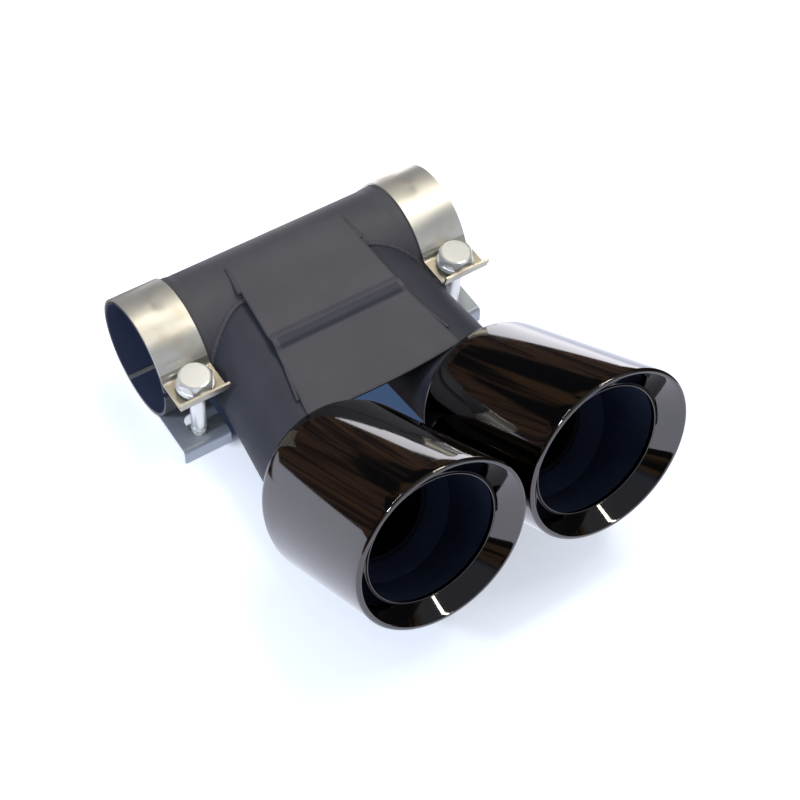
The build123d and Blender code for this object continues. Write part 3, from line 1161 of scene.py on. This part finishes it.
@dataclass
class PhotoCamera:
    """The camera at the photograph's viewing angle."""

    layout: Layout
    azimuth: float = math.radians(-33.954)
    elevation: float = math.radians(51.071)
    roll: float = math.radians(1.016)
    distance: float = 954.54 * MM
    target: tuple = (17.37 * MM, -82.02 * MM, -21.03 * MM)
    focal_pixels: float = 1831.42
    picture: float = 800.0

    def build(self) -> None:
        """Place the camera and make it the scene's own."""
        data = bpy.data.cameras.new("photo_camera")
        data.sensor_fit = "HORIZONTAL"
        data.sensor_width = 36.0
        data.lens = self.focal_pixels / self.picture * data.sensor_width
        data.clip_start = 0.01
        camera = bpy.data.objects.new("photo_camera", data)
        level = math.pi / 2 - self.elevation
        turned = Matrix.Rotation(self.azimuth, 4, "Z") @ Matrix.Rotation(level, 4, "X")
        turned = turned @ Matrix.Rotation(self.roll, 4, "Z") @ Matrix.Translation((0.0, 0.0, self.distance))
        camera.matrix_world = Matrix.Translation(self.layout.centre + Vector(self.target)) @ turned
        bpy.context.scene.collection.objects.link(camera)
        bpy.context.scene.camera = camera


@dataclass(frozen=True)
class Lamp:
    """An area light that points at the middle of the cross pipe."""

    name: str
    place: tuple
    size: tuple
    power: float
    colour: tuple = (1.0, 1.0, 1.0)

    def hang(self, middle: Vector) -> None:
        """Put the light into the scene.

        Args:
            middle: The middle of the cross pipe, from which its place counts.
        """
        data = bpy.data.lights.new(self.name, "AREA")
        data.shape = "RECTANGLE"
        data.size, data.size_y = self.size
        data.energy = self.power
        data.color = self.colour
        lamp = bpy.data.objects.new(self.name, data)
        place = middle + Vector(self.place)
        turned = (middle - place).to_track_quat("-Z", "Y").to_matrix().to_4x4()
        lamp.matrix_world = Matrix.Translation(place) @ turned
        bpy.context.scene.collection.objects.link(lamp)


@dataclass
class Studio:
    """The pale floor, the room and the soft lights."""

    layout: Layout
    floor_half: float = 4.0
    room: tuple = (0.62, 0.66, 0.74)
    room_strength: float = 0.85
    wall: tuple = ((0.02, 0.02, 0.024), (0.16, 0.1, 0.06))
    ceiling: tuple = ((0.16, 0.17, 0.2), (0.22, 0.2, 0.16))
    bright: tuple = (0.72, 0.77, 0.86)
    lamps: tuple = (
        Lamp("front_tube", (0.51, -0.405, 1.35), (0.7, 0.08), 4.0, (1.0, 0.97, 0.86)),
        Lamp("back_tube", (0.51, 0.24, 1.38), (0.7, 0.1), 5.0, (1.0, 0.94, 0.79)),
        Lamp("window", (-1.37, -0.15, 1.3), (0.18, 0.18), 10.0, (0.74, 0.85, 1.0)),
        Lamp("lintel", (-0.75, 1.6, 0.75), (0.5, 0.05), 3.0),
    )

    def build(self) -> None:
        """Make the floor, the world and the lights."""
        mesh = bpy.data.meshes.new("floor")
        half = self.floor_half
        square = [(-half, -half, 0), (half, -half, 0), (half, half, 0), (-half, half, 0)]
        mesh.from_pydata(square, [], [(0, 1, 2, 3)])
        floor = link("floor", mesh)
        floor.data.materials.append(StudioFloor("pale_floor").make())
        self.paint_room()
        for lamp in self.lamps:
            lamp.hang(self.layout.centre)

    def paint_room(self) -> None:
        """Make the world: pale light for matt surfaces, and a dim room with a bright front in reflections."""
        world = bpy.data.worlds.new("room")
        world.use_nodes = True
        graph = Graph(world.node_tree)
        heading = graph.node("ShaderNodeTexCoord", output="Generated")
        _, back, height = graph.axes(heading)
        wall = graph.mix(graph.noise(heading, 5.0, 3.0, 0.6).span(0.5, 0.62), *self.wall)
        ceiling = graph.mix(back.span(-0.3, 0.5), *self.ceiling)
        seen = graph.mix(height.span(0.42, 0.62), wall, ceiling)
        front = (1 - back.span(-0.85, -0.62)) * height.span(-0.05, 0.05)
        seen = graph.mix(front, seen, self.bright)
        pale = graph.node("ShaderNodeBackground", {},
                          {"Color": (*self.room, 1.0), "Strength": self.room_strength})
        mirrored = graph.node("ShaderNodeBackground", {}, {"Color": seen, "Strength": 1.0})
        glossy = graph.node("ShaderNodeLightPath", output="Is Glossy Ray")
        mixed = graph.node("ShaderNodeMixShader", {}, {0: glossy, 1: pale, 2: mirrored})
        graph.end(mixed, "ShaderNodeOutputWorld")
        bpy.context.scene.world = world


# The whole part


@dataclass
class ExhaustTip:
    """The dressed part: carried-over nodes with finishes, and the pieces made here."""

    layout: Layout
    # How far past the back of the tip the neck's paint turns near black.
    in_tip_dark_start: float = 6 * MM
    materials: dict = field(default_factory=dict)
    special: dict = field(default_factory=dict)

    def mix_finishes(self) -> None:
        """Make every finish once."""
        self.materials = {
            Slot.PAINT: GreyPaint("matt_grey_paint").make(),
            Slot.CHROME: BlackChrome("polished_black_chrome").make(),
            Slot.SLEEVE: DarkSleeve("dark_satin_sleeve").make(),
            Slot.STRIP: SatinStrip("satin_rolled_strip").make(),
            Slot.BRIGHT: BrightPlate("bright_plating").make(),
        }
        matrix = self.layout.tip_frame(Side.RIGHT)
        along = matrix.col[2].xyz
        start = along.dot(matrix.translation) + self.in_tip_dark_start
        # Painted shade: the necks and their elbows get a darker bluish copy of the grey paint, for the shade
        # and bluish light that fall on them.
        neck_shade_tone = {"base": (0.035, 0.037, 0.051), "dusty": (0.045, 0.047, 0.062)}
        in_tip_dark = InTipDarkPaint("in_tip_dark_grey_paint", **neck_shade_tone, along=tuple(along), start=start)
        # Painted shade: the upper ear gets a darker, browner copy of the band's strip, for the shade in its
        # trough round the bolt head; the strip's random stains stay on it.
        heated = SatinStrip("ear_trough_shaded_strip", (0.50, 0.465, 0.39), (0.22, 0.18, 0.12), 0.3, 0.9)
        # Painted shade: the lower ear gets a darker bluish copy of the band's strip, a little rougher and
        # less metallic, for the bluish light and shade on it.
        dull = SatinStrip("lower_ear_shaded_strip", (0.42, 0.46, 0.52), (0.36, 0.37, 0.39), 0.4, 0.5)
        self.special = {
            "neck_pipe": GreyPaint("neck_shaded_grey_paint", **neck_shade_tone).make(),
            "neck_elbow": in_tip_dark.make(),
            # The cross pipe's paint turns dark bluish inside its bore.
            "pipe": BoreDarkPaint("bore_dark_grey_paint", middle=tuple(self.layout.centre)).make(),
            "clamp_upper_ear": heated.make(),
            "clamp_lower_ear": dull.make(),
        }

    def dress_nodes(self) -> None:
        """Give each carried-over node the finish of its record slot."""
        for entry in frame["record"]["subparts"]:
            node = frame["nodes"][entry["node"]]
            material = self.materials[Slot(entry["material_slot"])]
            material = self.special.get(entry["node"].split("_", 1)[-1], material)
            node.data.materials.clear()
            node.data.materials.append(material)
            LOG.info("dressed %s in %s", node.name, material.name)

    def settle(self, piece: Object, slot: Slot, *nodes: str) -> None:
        """Make a new piece ride on the body and stand for its nodes.

        Args:
            piece: The new piece.
            slot: Its material slot; not used.
            nodes: The nodes that it stands for.
        """
        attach(piece, "root")
        if nodes:
            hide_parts(*nodes)
        LOG.info("made %s, %d faces", piece.name, len(piece.data.polygons))

    def build(self) -> None:
        """Dress the nodes and add the pieces in order."""
        self.mix_finishes()
        self.dress_nodes()
        beads = WeldBeads(self.layout, self.materials[Slot.PAINT])
        # The plate's paint carries painted shade on its rib.
        rib_shaded = RibShadedPaint("rib_shaded_grey_paint", middle=tuple(self.layout.centre)).make()
        self.settle(GussetPlate(self.layout, rib_shaded).build(), Slot.PAINT, "top_gusset_plate")
        for side in Side:
            tip = TipShell(self.layout, side, self.materials[Slot.CHROME])
            self.settle(tip.build(), Slot.CHROME, side.word + "_tip_shell", side.word + "_mouth_ring")
            self.settle(tip.rim(), Slot.CHROME)
            self.settle(beads.saddle(side), Slot.PAINT, side.word + "_saddle_weld")
            self.settle(beads.collar(side), Slot.PAINT, side.word + "_tip_weld")
            for where in Stitch:
                node = side.word + "_plate_" + where.name.lower() + "_weld"
                self.settle(beads.stitch(side, where), Slot.PAINT, node)
            bolt = ClampBolt(self.layout, side, self.materials[Slot.BRIGHT])
            self.settle(bolt.build(), Slot.BRIGHT, side.word + "_clamp_bolt")
            self.settle(bolt.thread(), Slot.BRIGHT)


def main() -> None:
    """Build the scene."""
    logging.basicConfig(level=logging.INFO, format="%(name)s: %(message)s")
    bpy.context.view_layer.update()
    low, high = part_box("cross_pipe")
    layout = Layout(centre=(low + high) / 2)
    PhotoCamera(layout).build()
    Studio(layout).build()
    ExhaustTip(layout).build()
    bpy.context.scene.view_settings.view_transform = "Standard"


if __name__ == "__main__":
    main()
